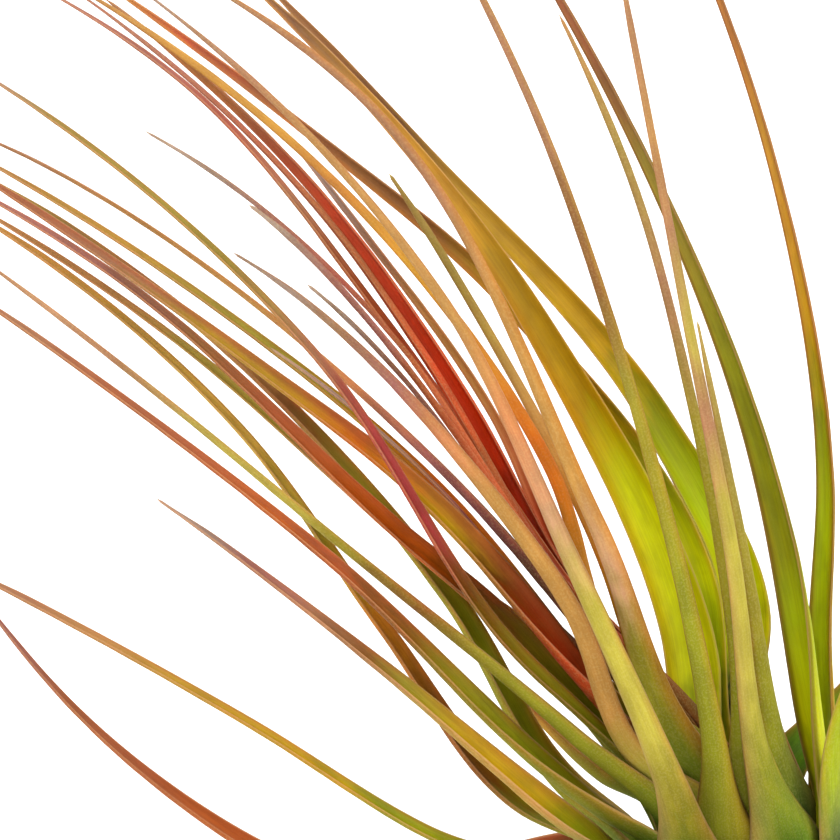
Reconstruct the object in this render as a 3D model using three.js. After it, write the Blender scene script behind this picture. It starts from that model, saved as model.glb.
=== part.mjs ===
// An air plant: a short stem with long channelled leaves in nested layers round it, swept to one side.
// Millimetres, +Z up. The origin is the middle of the flat spot under the stem, which the plant rests on.
// The leaves sweep toward -X, and the front of the plant is toward -Y.
import * as THREE from 'three';
import { mergeVertices } from 'three/addons/utils/BufferGeometryUtils.js';

const { degToRad, lerp } = THREE.MathUtils;

// The rosette leans to the left. Its heights are measured along this leaning axis.
const LEAN = degToRad(17);
const AXIS = new THREE.Vector3(-Math.sin(LEAN), 0, Math.cos(LEAN));
const TO_RIGHT = new THREE.Vector3(Math.cos(LEAN), 0, Math.sin(LEAN));
const TO_BACK = new THREE.Vector3(0, 1, 0);

// The stem is a cone with a flat spot under it. It stays clear of the sheaths that stand round it.
const STEM_FLAT_RADIUS = 5.0;
const STEM_SIDES = 20;
const STEM_RINGS = [[2.2, 5.0], [5.7, 4.6], [10.5, 3.1], [14.9, 1.7], [15.9, 0.9]];

// Each layer of sheaths curves out from the stem on an arc about one ring, and then rises to its top.
const CURVE_RADIUS = 1.8;
const CURVE_HEIGHT = 17.0;
const CURVE_START = degToRad(17);
const FIRST_LAYER = 1.0;
const LAYER_STEP = 1.3;
const INNER_SHEATH_TOP = 42.0;
const OUTER_SHEATH_TOP = 20.0;
const INNER_FLARE = degToRad(1);
const OUTER_FLARE = degToRad(30);
const SPREAD_POWER = 2.2;
const SHEATH_SIDE_GAP = 0.25;
const LEAVES_IN_LAYER = [4, 4, 5, 5, 6, 6, 6, 6, 6, 8, 8];
const LAYER_TURN = 37.5;
const OUTERMOST = LEAVES_IN_LAYER.length - 1;

// A blade leaves its sheath within the flare and narrows to a thread-like tip. An open blade grows wider
// than its sheath by no more than WIDENING for each millimetre along it, and turns about its own middle
// line over its first TWIST_SHARE. CHANNEL is how far its section curls to each side, less near a tip,
// where the section is bent round TIGHTEST_CURL.
const THICK = 0.7;
const START_PULL = 0.8;
const INNER_FLARE_LENGTH = 5.0;
const OUTER_FLARE_LENGTH = 14.0;
const FLARE_POWER = 1.3;
const MIDDLE_SHARE = 0.35;
const WIDENING = 0.1;
const TWIST_SHARE = 0.3;
const CHANNEL = 1.25;
const TIGHTEST_CURL = 0.55;
const ACROSS = [-1, -0.5, 0, 0.5, 1];
const SHEATH_STEPS = 3;
const BLADE_STEPS = 11;

// The leaves. A leaf stands in its layer, 0 the innermost, at one of that layer's places, counted from
// the right round the back. Its color is the mean of what shows along it. Its twist is how far its blade
// turns, in degrees. Its widths are those of the flattened blade at its start, at MIDDLE_SHARE of its
// length and at its tip. Its route is the points that its middle line passes through, the tip last.
const LEAVES = [
  { name: 'leaf_front_right', layer: 8, place: 0, color: 0xb4ae6a, twist: 0, widths: [6.1, 3.2, 0.7],
    route: [[-6, -20, 51.5], [-11.5, -27, 88.5], [-21.5, -35, 137], [-35.5, -44, 204.5]] },
  { name: 'leaf_front_right_inner', layer: 7, place: 1, color: 0xa89c62, twist: 0, widths: [8.2, 4.4, 0.8],
    route: [[-1, -12, 47.5], [-8.5, -19, 85.5], [-19, -24, 132.5]] },
  { name: 'leaf_front_thread', layer: 6, place: 1, color: 0xb08a78, twist: 0, widths: [3.4, 2.2, 0.7],
    route: [[-10.5, -14.5, 71], [-19, -16.5, 115.5], [-32, -22.5, 161], [-43.5, -20, 186]] },
  { name: 'leaf_front_crossing', layer: 7, place: 0, color: 0xa67c4e, twist: 0, widths: [5.9, 2.8, 0.7],
    route: [[-14.5, -21, 53], [-31, -32, 122.5], [-49.5, -43.5, 176.5], [-64, -53, 207]] },
  { name: 'leaf_front_left', layer: 8, place: 5, color: 0xc2b48c, twist: -5, widths: [9.6, 4.3, 0.7],
    route: [[-23.5, -27.5, 47.5], [-41.5, -25, 89.5], [-64, -33, 138.5], [-115, -32.5, 192.5]] },
  { name: 'leaf_front_tan', layer: 4, place: 2, color: 0xb89a6a, twist: -19, widths: [10.8, 3.8, 0.9],
    route: [[-19, -12.5, 48.5], [-36.5, -28, 96], [-79, -24.5, 173.5], [-107, -21, 193]] },
  { name: 'leaf_front_olive', layer: 3, place: 2, color: 0x8c7a3c, twist: 12, widths: [6.9, 3, 0.9],
    route: [[-24.5, -13, 58], [-34, -11, 84.5], [-60.5, 3, 133], [-73, -8.5, 155.5]] },
  { name: 'leaf_front_orange', layer: 2, place: 3, color: 0xb87a32, twist: 5, widths: [4.8, 2.7, 0.9],
    route: [[-29.5, -11, 61.5], [-44.5, -20, 105.5], [-90, 3, 158.5], [-129.5, 12, 185.5]] },
  { name: 'leaf_right_tall', layer: 9, place: 1, color: 0xb98a2e, twist: 32, widths: [9, 4.2, 0.9],
    route: [[8.5, 15, 65.5], [8.5, 16, 92.5], [-1.5, 16.5, 147.5], [-25, 6.5, 209]] },
  { name: 'leaf_right_green', layer: 8, place: 1, color: 0xa8a83a, twist: 44, widths: [14, 7.2, 1.4],
    route: [[6, 1, 55], [-4, 5.5, 100], [-28, 11.5, 157.5], [-52, 14, 199]] },
  { name: 'leaf_back_brown', layer: 6, place: 4, color: 0x8a6a1e, twist: 5, widths: [16.5, 8.6, 1.8],
    route: [[-6.5, 25.5, 63.5], [-23, 27.5, 100], [-67.5, 42, 149.5], [-98, 52.5, 181]] },
  { name: 'leaf_back_red', layer: 4, place: 5, color: 0x8e3a1e, twist: -5, widths: [7.6, 5.4, 0.9],
    route: [[-14, 21.5, 69.5], [-49.5, 19.5, 124], [-88.5, 33, 155], [-128, 34.5, 184]] },
  { name: 'leaf_back_yellow', layer: 3, place: 0, color: 0xb4b43c, twist: -10, widths: [14.4, 9.4, 1.2],
    route: [[-18.5, 15.5, 63], [-44, 14.5, 118.5], [-58, 8.5, 142], [-103, 22.5, 188.5]] },
  { name: 'leaf_core_salmon', layer: 0, place: 2, color: 0xd08a6c, twist: -21, widths: [4.1, 2.7, 1],
    route: [[-43.5, 1, 80], [-74, 1, 126], [-110, 1, 170], [-133, -3, 187]] },
  { name: 'leaf_core_rust', layer: 0, place: 0, color: 0xb0502c, twist: 18, widths: [6.4, 4.4, 1.1],
    route: [[-43, -4, 81.5], [-66, -0.5, 120], [-85, 3.5, 146], [-131, 10.5, 186]] },
  { name: 'leaf_core_red', layer: 0, place: 1, color: 0xa83218, twist: -36, widths: [4.6, 4.8, 1],
    route: [[-42, 5.5, 79], [-59, 2.5, 111.5], [-88.5, 7, 152], [-125, 20.5, 182]] },
  { name: 'leaf_core_coral', layer: 2, place: 0, color: 0xcc785c, twist: 9, widths: [2.8, 1.9, 0.7],
    route: [[-40.5, 7, 77.5], [-53.5, 8, 106], [-79.5, 16, 141.5], [-92, 25.5, 155.5]] },
  { name: 'leaf_young_mauve', layer: 0, place: 3, color: 0x96505a, twist: -29, widths: [1.4, 0.7, 0.7],
    route: [[-45.5, -10, 85.5], [-71.5, -2, 123], [-115, -27.5, 167]] },
  { name: 'leaf_young_coral', layer: 1, place: 2, color: 0xc87858, twist: 40, widths: [1.8, 1, 0.9],
    route: [[-43.5, -12, 82], [-67, -12, 117], [-96, -55.5, 160]] },
  { name: 'leaf_young_maroon', layer: 2, place: 2, color: 0x7e3a3e, twist: 24, widths: [1.8, 0.7, 0.7],
    route: [[-43, -13.5, 80.5], [-70.5, -14.5, 119.5], [-87, -32.5, 141]] },
  { name: 'leaf_young_grey', layer: 2, place: 1, color: 0x9a8478, twist: 20, widths: [1.7, 0.7, 0.7],
    route: [[-47, 0.5, 74], [-64.5, -5, 97], [-94.5, -5.5, 123]] },
  { name: 'leaf_left_taupe', layer: 5, place: 1, color: 0x94786a, twist: -21, widths: [5.4, 5, 0.8],
    route: [[-28.5, -13.5, 47.5], [-41.5, -21, 79], [-62.5, -17, 107.5], [-99, -49.5, 150.5]] },
  { name: 'leaf_left_crimson', layer: 5, place: 0, color: 0xa04638, twist: -38, widths: [5.8, 3.2, 0.7],
    route: [[-54.5, -10.5, 72], [-86, -18.5, 124.5], [-147, -22, 178.5]] },
  { name: 'leaf_left_tan', layer: 3, place: 1, color: 0xb48c5c, twist: 5, widths: [6.5, 4.6, 0.7],
    route: [[-49, -6, 83], [-111.5, 18, 135.5], [-150, -17.5, 166.5]] },
  { name: 'leaf_left_gold', layer: 4, place: 0, color: 0xb8923c, twist: 0, widths: [6.6, 4, 0.7],
    route: [[-37.5, 4.5, 58], [-62, 7.5, 89.5], [-105, -0.5, 129.5], [-152, 5.5, 158.5]] },
  { name: 'leaf_left_broad', layer: 4, place: 1, color: 0x9a7434, twist: -57, widths: [12.7, 7.2, 1.3],
    route: [[-35, -5, 55], [-68, -8, 96], [-96, -3, 117.5], [-152.5, -5.5, 159]] },
  { name: 'leaf_left_olive', layer: 8, place: 4, color: 0x8e8c3c, twist: -22, widths: [14.1, 7, 1.6],
    route: [[-41, 3.5, 35], [-62.5, 1, 73], [-93.5, 8, 109.5], [-151, 12, 153]] },
  { name: 'leaf_left_rust', layer: 6, place: 5, color: 0xa2563e, twist: -17, widths: [11, 5.6, 0.8],
    route: [[-56.5, -0.5, 73], [-69.5, -5.5, 86], [-124, -13, 139.5], [-152, -10, 156]] },
  { name: 'leaf_left_pale', layer: 5, place: 5, color: 0xc8b08e, twist: 0, widths: [5.1, 3, 0.7],
    route: [[-73.5, 8.5, 85.5], [-112.5, 12.5, 120], [-152, 18, 145.5]] },
  { name: 'leaf_left_straw', layer: 9, place: 4, color: 0xc4a250, twist: -8, widths: [12.5, 4.6, 1.4],
    route: [[-50, 7.5, 31.5], [-74.5, 8.5, 65], [-101, 9.5, 103.5], [-153.5, 14, 146]] },
  { name: 'leaf_left_pink', layer: 6, place: 0, color: 0xb88672, twist: 2, widths: [7.1, 3.3, 0.8],
    route: [[-40, -15, 52], [-83.5, -20, 91.5], [-112.5, -27.5, 119], [-147, -29.5, 147.5]] },
  { name: 'leaf_left_orange', layer: 7, place: 5, color: 0xb87440, twist: -38, widths: [13.5, 5.6, 1.1],
    route: [[-35, -8.5, 35], [-85, -27.5, 90.5], [-124.5, -36.5, 125.5], [-149.5, -42, 145.5]] },
  { name: 'leaf_low_front', layer: 9, place: 5, color: 0xb09a6a, twist: -32, widths: [12.8, 7.4, 0.9],
    route: [[-44, -22, 39.5], [-74, -25.5, 68], [-112.5, -51.5, 108]] },
  { name: 'leaf_low_gold', layer: 10, place: 4, color: 0xb4983e, twist: -23, widths: [5.2, 3.7, 1.4],
    route: [[-66.5, -26, 37.5], [-98, -32, 60.5], [-150.5, -46, 96]] },
  { name: 'leaf_low_rust', layer: 10, place: 3, color: 0xa8644a, twist: 0, widths: [14.2, 9.9, 0.9],
    route: [[-88, 44, 1.1], [-123.5, 44, 25.5], [-156, 44, 66]] },
  { name: 'leaf_right_edge', layer: 9, place: 0, color: 0x9c9a52, twist: 0, widths: [10.5, 5.2, 0.7],
    route: [[9.5, -12, 52], [24, -20, 92], [50, -28, 126]] },
  { name: 'leaf_outer_right', layer: 10, place: 0, color: 0x9a8a50, twist: 0, widths: [7.7, 4.8, 0.7],
    route: [[34, 8, 38], [60, 12, 52], [92, 16, 50]] },
  { name: 'leaf_outer_front_right', layer: 10, place: 7, color: 0xa08c58, twist: 0, widths: [7.7, 4.8, 0.7],
    route: [[34, -18, 28], [58, -30, 34], [86, -42, 26]] },
  { name: 'leaf_outer_front', layer: 10, place: 6, color: 0xa8926a, twist: 0, widths: [7.7, 4.8, 0.7],
    route: [[8, -38, 24], [16, -62, 26], [24, -88, 14]] },
  { name: 'leaf_front_spread', layer: 9, place: 7, color: 0x9c9256, twist: 0, widths: [7.7, 4.8, 0.7],
    route: [[6, -36, 36], [14, -62, 46], [24, -92, 42]] },
  { name: 'leaf_front_left_spread', layer: 9, place: 6, color: 0xa89a60, twist: 0, widths: [7.7, 4.8, 0.7],
    route: [[-18, -40, 34], [-36, -68, 40], [-58, -96, 32]] },
  { name: 'leaf_outer_front_left', layer: 10, place: 5, color: 0xa4825a, twist: 0, widths: [7.7, 4.8, 0.7],
    route: [[-36, -38, 18], [-60, -60, 10], [-84, -80, 0.4]] },
  { name: 'leaf_outer_back', layer: 10, place: 2, color: 0x94803e, twist: 0, widths: [7.7, 4.8, 0.7],
    route: [[-6, 44, 20], [-13, 72, 14], [-18, 96, 0.4]] },
  { name: 'leaf_outer_back_right', layer: 10, place: 1, color: 0x9a8648, twist: 0, widths: [7.7, 4.8, 0.7],
    route: [[22, 34, 26], [36, 56, 32], [52, 80, 22]] },
  { name: 'leaf_back_right', layer: 9, place: 2, color: 0x96903c, twist: 0, widths: [7.7, 4.8, 0.7],
    route: [[20, 30, 52], [38, 48, 88], [66, 64, 108]] },
  { name: 'leaf_back_spread', layer: 9, place: 3, color: 0x948a40, twist: 0, widths: [7.3, 4.6, 0.9],
    route: [[-8, 40, 36], [-10, 64, 43], [-16, 95, 34]] },
  { name: 'leaf_back_tall', layer: 8, place: 2, color: 0xa08c3a, twist: 0, widths: [7.7, 4.8, 0.7],
    route: [[-6, 36, 60], [-25, 44, 98], [-49, 54, 128]] },
  { name: 'leaf_back_left', layer: 8, place: 3, color: 0x98803c, twist: 60, widths: [11.4, 8.5, 1.2],
    route: [[-33, 19.5, 31.5], [-45, 24, 42], [-56, 25, 55.5]] },
];

// A direction square to the axis, at a turn round it.
function outward(turn) {
  return TO_RIGHT.clone().multiplyScalar(Math.cos(turn)).addScaledVector(TO_BACK, Math.sin(turn));
}

// The layer's own sizes: how far it stands out, where its sheaths end and how far they flare.
function layerOf(index) {
  const share = (index / OUTERMOST) ** SPREAD_POWER;
  return {
    reach: FIRST_LAYER + LAYER_STEP * index,
    top: lerp(INNER_SHEATH_TOP, OUTER_SHEATH_TOP, share),
    flare: lerp(INNER_FLARE, OUTER_FLARE, share),
    places: LEAVES_IN_LAYER[index],
    flareLength: lerp(INNER_FLARE_LENGTH, OUTER_FLARE_LENGTH, index / OUTERMOST),
  };
}

// One row of a sheath: points on an arc round the axis, each with the normal that faces the axis.
function sheathRow(layer, turn, radius, height, slope) {
  const half = Math.PI / layer.places - SHEATH_SIDE_GAP / radius;
  return ACROSS.map((share) => {
    const out = outward(turn + share * half);
    return {
      point: out.clone().multiplyScalar(radius).addScaledVector(AXIS, height),
      normal: out.clone().multiplyScalar(-Math.sin(slope)).addScaledVector(AXIS, Math.cos(slope)),
    };
  });
}

// The rows of a sheath, from its foot at the stem to its top, and the state that the blade starts from.
function sheathRows(layer, turn) {
  const rows = [];
  const curveEnd = Math.PI / 2 - layer.flare;
  for (let step = 0; step < SHEATH_STEPS; step += 1) {
    const slope = lerp(CURVE_START, curveEnd, step / (SHEATH_STEPS - 1));
    const radius = CURVE_RADIUS + layer.reach * Math.sin(slope);
    const height = CURVE_HEIGHT - layer.reach * Math.cos(slope);
    rows.push(sheathRow(layer, turn, radius, height, slope));
  }
  const bend = CURVE_RADIUS + layer.reach * Math.sin(curveEnd);
  const bendHeight = CURVE_HEIGHT - layer.reach * Math.cos(curveEnd);
  const topRadius = bend + (layer.top - bendHeight) * Math.tan(layer.flare);
  rows.push(sheathRow(layer, turn, topRadius, layer.top, curveEnd));
  const out = outward(turn);
  const curl = Math.PI / layer.places - SHEATH_SIDE_GAP / topRadius;
  return {
    rows,
    point: out.clone().multiplyScalar(topRadius).addScaledVector(AXIS, layer.top),
    along: out.clone().multiplyScalar(Math.sin(layer.flare)).addScaledVector(AXIS, Math.cos(layer.flare)),
    inward: out.clone().multiplyScalar(-Math.cos(layer.flare)).addScaledVector(AXIS, Math.sin(layer.flare)),
    curl,
    half: topRadius * curl,
    flareLength: layer.flareLength,
  };
}

// A point of the smooth curve between two points, with the slope that the curve has at each.
function hermite(from, slopeFrom, to, slopeTo, t) {
  const t2 = t * t;
  const t3 = t2 * t;
  return from.clone().multiplyScalar(2 * t3 - 3 * t2 + 1)
    .addScaledVector(slopeFrom, t3 - 2 * t2 + t)
    .addScaledVector(to, 3 * t2 - 2 * t3)
    .addScaledVector(slopeTo, t3 - t2);
}

// The middle line of a blade: a smooth curve from the sheath's top through each point of the leaf's route.
function bladeLine(start, route) {
  const knots = [start.point, ...route.map((point) => new THREE.Vector3(...point))];
  const spans = route.map((_, index) => knots[index].distanceTo(knots[index + 1]));
  const chords = route.map((_, index) => knots[index + 1].clone().sub(knots[index])
    .divideScalar(spans[index]));
  const slopes = [start.along.clone().multiplyScalar(START_PULL)];
  for (let index = 1; index < route.length; index += 1) {
    slopes.push(chords[index - 1].clone().multiplyScalar(spans[index])
      .addScaledVector(chords[index], spans[index - 1])
      .divideScalar(spans[index - 1] + spans[index]));
  }
  slopes.push(chords.at(-1).clone().multiplyScalar(2).sub(slopes.at(-1)));
  const length = spans.reduce((sum, span) => sum + span, 0);
  return (share) => {
    let index = 0;
    let distance = share * length;
    while (index < spans.length - 1 && distance > spans[index]) {
      distance -= spans[index];
      index += 1;
    }
    return hermite(knots[index], slopes[index].clone().multiplyScalar(spans[index]),
      knots[index + 1], slopes[index + 1].clone().multiplyScalar(spans[index]), distance / spans[index]);
  };
}

// How wide the flattened blade is at a share of its length: a smooth curve through its three widths.
function bladeWidth([base, middle, tip], share) {
  const away = MIDDLE_SHARE - share;
  return base ** ((away * (1 - share)) / MIDDLE_SHARE)
    * middle ** ((share * (1 - share)) / (MIDDLE_SHARE * (1 - MIDDLE_SHARE)))
    * tip ** ((-share * away) / (1 - MIDDLE_SHARE));
}

// The rows of a blade. Its section is a channel that opens toward the axis and then turns by its twist.
function bladeRows(leaf, start) {
  const line = bladeLine(start, leaf.route);
  const rows = [];
  const untwisted = start.inward.clone();
  let along = start.along.clone();
  let previous = start.point;
  let run = 0;
  for (let step = 1; step <= BLADE_STEPS; step += 1) {
    const share = step / BLADE_STEPS;
    const point = line(share);
    const next = step < BLADE_STEPS ? line(share + 0.5 / BLADE_STEPS) : point.clone();
    const before = line(share - 0.5 / BLADE_STEPS);
    const heading = next.sub(before).normalize();
    untwisted.applyQuaternion(new THREE.Quaternion().setFromUnitVectors(along, heading));
    run += point.distanceTo(previous);
    previous = point;
    along = heading;
    const twist = degToRad(leaf.twist) * THREE.MathUtils.smoothstep(share, 0, TWIST_SHARE);
    const inward = untwisted.clone().applyAxisAngle(along, twist);
    const side = new THREE.Vector3().crossVectors(inward, along);
    const flare = Math.exp(-((run / start.flareLength) ** FLARE_POWER));
    const open = Math.min(bladeWidth(leaf.widths, share) / 2, start.half + WIDENING * run);
    const half = lerp(open, Math.max(start.half, open), flare);
    const curl = Math.min(lerp(CHANNEL, start.curl, flare), half / TIGHTEST_CURL);
    const bend = half / curl;
    rows.push(ACROSS.map((place) => {
      const angle = place * curl;
      return {
        point: point.clone()
          .addScaledVector(side, bend * Math.sin(angle))
          .addScaledVector(inward, bend * (1 - Math.cos(angle))),
        normal: inward.clone().multiplyScalar(Math.cos(angle)).addScaledVector(side, -Math.sin(angle)),
      };
    }));
  }
  return rows;
}

// A closed skin round rows of points: the outer face, the inner face THICK away, the edges and both ends.
function skin(rows) {
  const last = ACROSS.length - 1;
  const ring = 2 * ACROSS.length;
  const positions = [];
  for (const row of rows) {
    const outer = row.map(({ point, normal }) => point.clone().addScaledVector(normal, -THICK / 2));
    const inner = row.map(({ point, normal }) => point.clone().addScaledVector(normal, THICK / 2));
    for (const corner of [...outer, ...inner.reverse()]) {
      positions.push(corner.x, corner.y, corner.z);
    }
  }
  const faces = [];
  for (let row = 0; row < rows.length - 1; row += 1) {
    for (let corner = 0; corner < ring; corner += 1) {
      const a = row * ring + corner;
      const b = row * ring + ((corner + 1) % ring);
      faces.push(a, b, a + ring, b, b + ring, a + ring);
    }
  }
  const end = (rows.length - 1) * ring;
  for (let corner = 0; corner < last; corner += 1) {
    const under = ring - 1 - corner;
    faces.push(corner, under, corner + 1, corner + 1, under, under - 1);
    faces.push(end + corner, end + corner + 1, end + under, end + corner + 1, end + under - 1, end + under);
  }
  const geometry = new THREE.BufferGeometry();
  geometry.setAttribute('position', new THREE.Float32BufferAttribute(positions, 3));
  geometry.setIndex(faces);
  return geometry;
}

function leafMesh(leaf) {
  const layer = layerOf(leaf.layer);
  const turn = degToRad(leaf.layer * LAYER_TURN + leaf.place * (360 / layer.places));
  const sheath = sheathRows(layer, turn);
  const geometry = skin([...sheath.rows, ...bladeRows(leaf, sheath)]);
  const material = new THREE.MeshStandardMaterial({ color: leaf.color, roughness: 0.6, metalness: 0 });
  const mesh = new THREE.Mesh(geometry, material);
  mesh.name = leaf.name;
  return mesh;
}

// The stem: a level flat spot at the origin, then rings square to the leaning axis up to a blunt point.
function stemMesh() {
  const positions = [];
  const ringPoint = (out, centre) => {
    const point = centre.clone().add(out);
    positions.push(point.x, point.y, point.z);
  };
  const turns = Array.from({ length: STEM_SIDES }, (_, side) => (2 * Math.PI * side) / STEM_SIDES);
  for (const turn of turns) {
    ringPoint(new THREE.Vector3(Math.cos(turn), Math.sin(turn), 0).multiplyScalar(STEM_FLAT_RADIUS),
      new THREE.Vector3());
  }
  for (const [height, radius] of STEM_RINGS) {
    for (const turn of turns) {
      ringPoint(outward(turn).multiplyScalar(radius), AXIS.clone().multiplyScalar(height));
    }
  }
  const faces = [];
  for (let ring = 0; ring < STEM_RINGS.length; ring += 1) {
    for (let side = 0; side < STEM_SIDES; side += 1) {
      const a = ring * STEM_SIDES + side;
      const b = ring * STEM_SIDES + ((side + 1) % STEM_SIDES);
      faces.push(a, b, a + STEM_SIDES, b, b + STEM_SIDES, a + STEM_SIDES);
    }
  }
  const top = STEM_RINGS.length * STEM_SIDES;
  for (let side = 1; side < STEM_SIDES - 1; side += 1) {
    faces.push(0, side + 1, side);
    faces.push(top, top + side, top + side + 1);
  }
  const geometry = new THREE.BufferGeometry();
  geometry.setAttribute('position', new THREE.Float32BufferAttribute(positions, 3));
  geometry.setIndex(faces);
  const mesh = new THREE.Mesh(mergeVertices(geometry),
    new THREE.MeshStandardMaterial({ color: 0x5b4630, roughness: 0.85, metalness: 0 }));
  mesh.name = 'stem';
  return mesh;
}

const plant = new THREE.Group();
plant.add(stemMesh());
for (const leaf of LEAVES) {
  plant.add(leafMesh(leaf));
}

export default plant;
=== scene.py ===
"""An air plant as picked: a short dry stem with long channelled leaves in nested layers round it.

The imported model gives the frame. Every leaf and the stem are made again here, in the same places and
with the same rule and sizes, with finer surfaces and with the finishes of the real plant.
"""

import logging
import math
from dataclasses import dataclass, field
from enum import Enum
from functools import partial
from typing import Any, Callable

import bpy
import numpy as np
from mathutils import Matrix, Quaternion, Vector


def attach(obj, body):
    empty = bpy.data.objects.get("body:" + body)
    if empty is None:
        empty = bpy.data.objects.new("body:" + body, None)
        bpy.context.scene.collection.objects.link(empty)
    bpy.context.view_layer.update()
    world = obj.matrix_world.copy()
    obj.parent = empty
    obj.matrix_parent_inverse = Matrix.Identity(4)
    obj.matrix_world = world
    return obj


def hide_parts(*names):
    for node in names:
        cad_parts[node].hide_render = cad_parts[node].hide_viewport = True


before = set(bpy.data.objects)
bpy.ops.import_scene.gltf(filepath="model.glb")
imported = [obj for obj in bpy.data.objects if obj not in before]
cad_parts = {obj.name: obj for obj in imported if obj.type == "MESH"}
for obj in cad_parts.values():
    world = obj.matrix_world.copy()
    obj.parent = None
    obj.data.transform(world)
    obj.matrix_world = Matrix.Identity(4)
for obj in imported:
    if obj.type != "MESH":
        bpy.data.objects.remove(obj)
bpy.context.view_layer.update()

Route = tuple[tuple[float, float, float], ...]

LOG = logging.getLogger("air_plant")
MM = 0.001

# The share of a leaf's length on the colour scale that its sheath takes.
SHEATH_SHARE = 0.14

# Living leaf tissue, between water and cellulose. Light goes a little way into it, and the waxy inner
# face is smoother than the scaly outer one.
LEAF_IOR = 1.45
LEAF_SPECULAR = 0.15
LEAF_GLOW = 0.2
LEAF_GLOW_RADII = (1.0, 0.6, 0.2)
LEAF_GLOW_DEPTH = 1.2 * MM
OUTER_ROUGHNESS = 0.75
INNER_ROUGHNESS = 0.5
LEAF_RELIEF = 0.3
LEAF_RELIEF_HEIGHT = 0.12 * MM

# Dry plant fibre: dull, and rough enough to catch the light on its ridges.
FIBRE_ROUGHNESS = 0.9
FIBRE_RELIEF = 0.8
FIBRE_RELIEF_HEIGHT = 0.4 * MM


class Tone(Enum):
    """The colours of the plant, as sRGB hex values."""

    # Night green and deep green, as the first shades of leaves that lie behind others, are partly the
    # plant's own near-black leaf bases and partly painted shade in the deep gaps between the leaf bases.
    NIGHT_GREEN = "16240a"
    DEEP_GREEN = "2c5208"
    LEAF_GREEN = "5c8008"
    OLIVE_GREEN = "828406"
    BRIGHT_GREEN = "a2b200"
    LIME = "c6cc00"
    OLIVE = "8c8212"
    OLIVE_GOLD = "aa8600"
    DARK_OLIVE = "524e10"
    KHAKI = "a89c34"
    PALE_KHAKI = "b8ac50"
    STRAW = "c4a43c"
    GOLD = "c08c14"
    AMBER = "b47010"
    ORANGE = "c46204"
    BURNT_ORANGE = "ac4e04"
    BROWN = "764608"
    DARK_BROWN = "4a2808"
    RUST = "9c481e"
    VERMILION = "c83406"
    DARK_RED = "902200"
    CRIMSON = "a03636"
    CORAL = "bc5630"
    SALMON = "c47c4c"
    MAUVE = "965258"
    MAROON = "642c32"
    PINK_TAN = "b88a66"
    TAN = "b0803c"
    BROWN_PINK = "9a684a"
    TAUPE = "8a6448"
    GREY = "8a7e7c"
    THREAD_GREY = "b0a49a"
    BLUE_GREEN = "56703e"
    SCALE = "dccb8c"
    SHEATH = "8a6a48"
    VEIN = "a08c50"
    PATCH = "908650"
    FIBRE = "5b4630"
    PAPER = "f6f6f6"
    WHITE = "ffffff"


class Slot(Enum):
    """The record's material slots."""

    PALE = "leaf_pale"
    OLIVE = "leaf_olive"
    GOLD = "leaf_gold"
    RUST = "leaf_rust"
    CORAL = "leaf_coral"
    MAUVE = "leaf_mauve"
    STEM = "stem"


def linear(hex_value: str) -> tuple[float, float, float, float]:
    """Turn an sRGB hex colour into a linear one.

    Args:
        hex_value: six hex digits.

    Returns:
        The linear red, green, blue and an alpha of one.
    """
    shares = [int(hex_value[at:at + 2], 16) / 255 for at in (0, 2, 4)]
    red, green, blue = (s / 12.92 if s <= 0.04045 else ((s + 0.055) / 1.055) ** 2.4 for s in shares)
    return (red, green, blue, 1.0)


def lerp(low: float, high: float, share: float) -> float:
    """Return the number that lies the given share of the way from low to high."""
    return low + (high - low) * share


def smooth(share: float) -> float:
    """Return a share, held between 0 and 1, with its rise eased at both ends."""
    held = min(max(share, 0.0), 1.0)
    return held * held * (3 - 2 * held)


def add_node(tree: bpy.types.NodeTree, kind: str, settings: dict[str, Any] | None = None,
             inputs: dict[Any, Any] | None = None, output: int | str = 0) -> bpy.types.NodeSocket:
    """Add one node to a tree, with its settings, and set or link its inputs.

    Args:
        tree: the tree that the node goes into.
        kind: the node's type.
        settings: the node's own properties by name.
        inputs: for each input's name or number, the socket to link to it or the value to give it.
        output: the name or number of the output that is wanted.

    Returns:
        That output's socket.
    """
    node = tree.nodes.new(kind)
    for name, value in (settings or {}).items():
        setattr(node, name, value)
    for key, value in (inputs or {}).items():
        if isinstance(value, bpy.types.NodeSocket):
            tree.links.new(value, node.inputs[key])
        else:
            node.inputs[key].default_value = value
    return node.outputs[output]


def dress(piece: bpy.types.Object, material: bpy.types.Material, node: str) -> None:
    """Give a piece its finish and tell the frame what it stands for.

    Args:
        piece: the finished piece, a plain mesh at the origin.
        material: its finish.
        node: the name of the node that it replaces.
    """
    if not piece.data.materials:
        piece.data.materials.append(material)
    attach(piece, "root")
    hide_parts(node)
    LOG.info("%s: %d faces", piece.name, len(piece.data.polygons))


@dataclass(frozen=True)
class Marking:
    """A noise laid over a leaf's skin, with its marks' width and length in millimetres."""

    name: str
    width: float
    length: float
    detail: float


# Streaks carry one shade some way into the next, and patches make a blade's colour cloudy. The veins lie
# 0.3 mm apart. A real scale is about 0.1 mm wide, too fine to show, so scales are drawn three times as
# wide.
MARKINGS = (Marking("streaks", 0.909, 28.57, 3.0), Marking("patches", 3.333, 8.333, 3.0),
            Marking("veins", 0.3125, 12.5, 2.0), Marking("scales", 0.2941, 0.4167, 2.0))

# How far streaks and patches move the shades along the leaf, as shares of its length.
STRAYING = (("streaks", 0.05), ("patches", 0.10))


@dataclass(frozen=True)
class Span:
    """A smooth change from one strength to another, between two numbers of a value of the skin."""

    value: str
    start: float
    end: float
    before: float
    after: float


@dataclass(frozen=True)
class Coat:
    """A thin layer of colour on a blade, as strong as its spans multiplied together."""

    tone: Tone
    spans: tuple[Span, ...]
    mixing: str = "MIX"
    raised: bool = False


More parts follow.
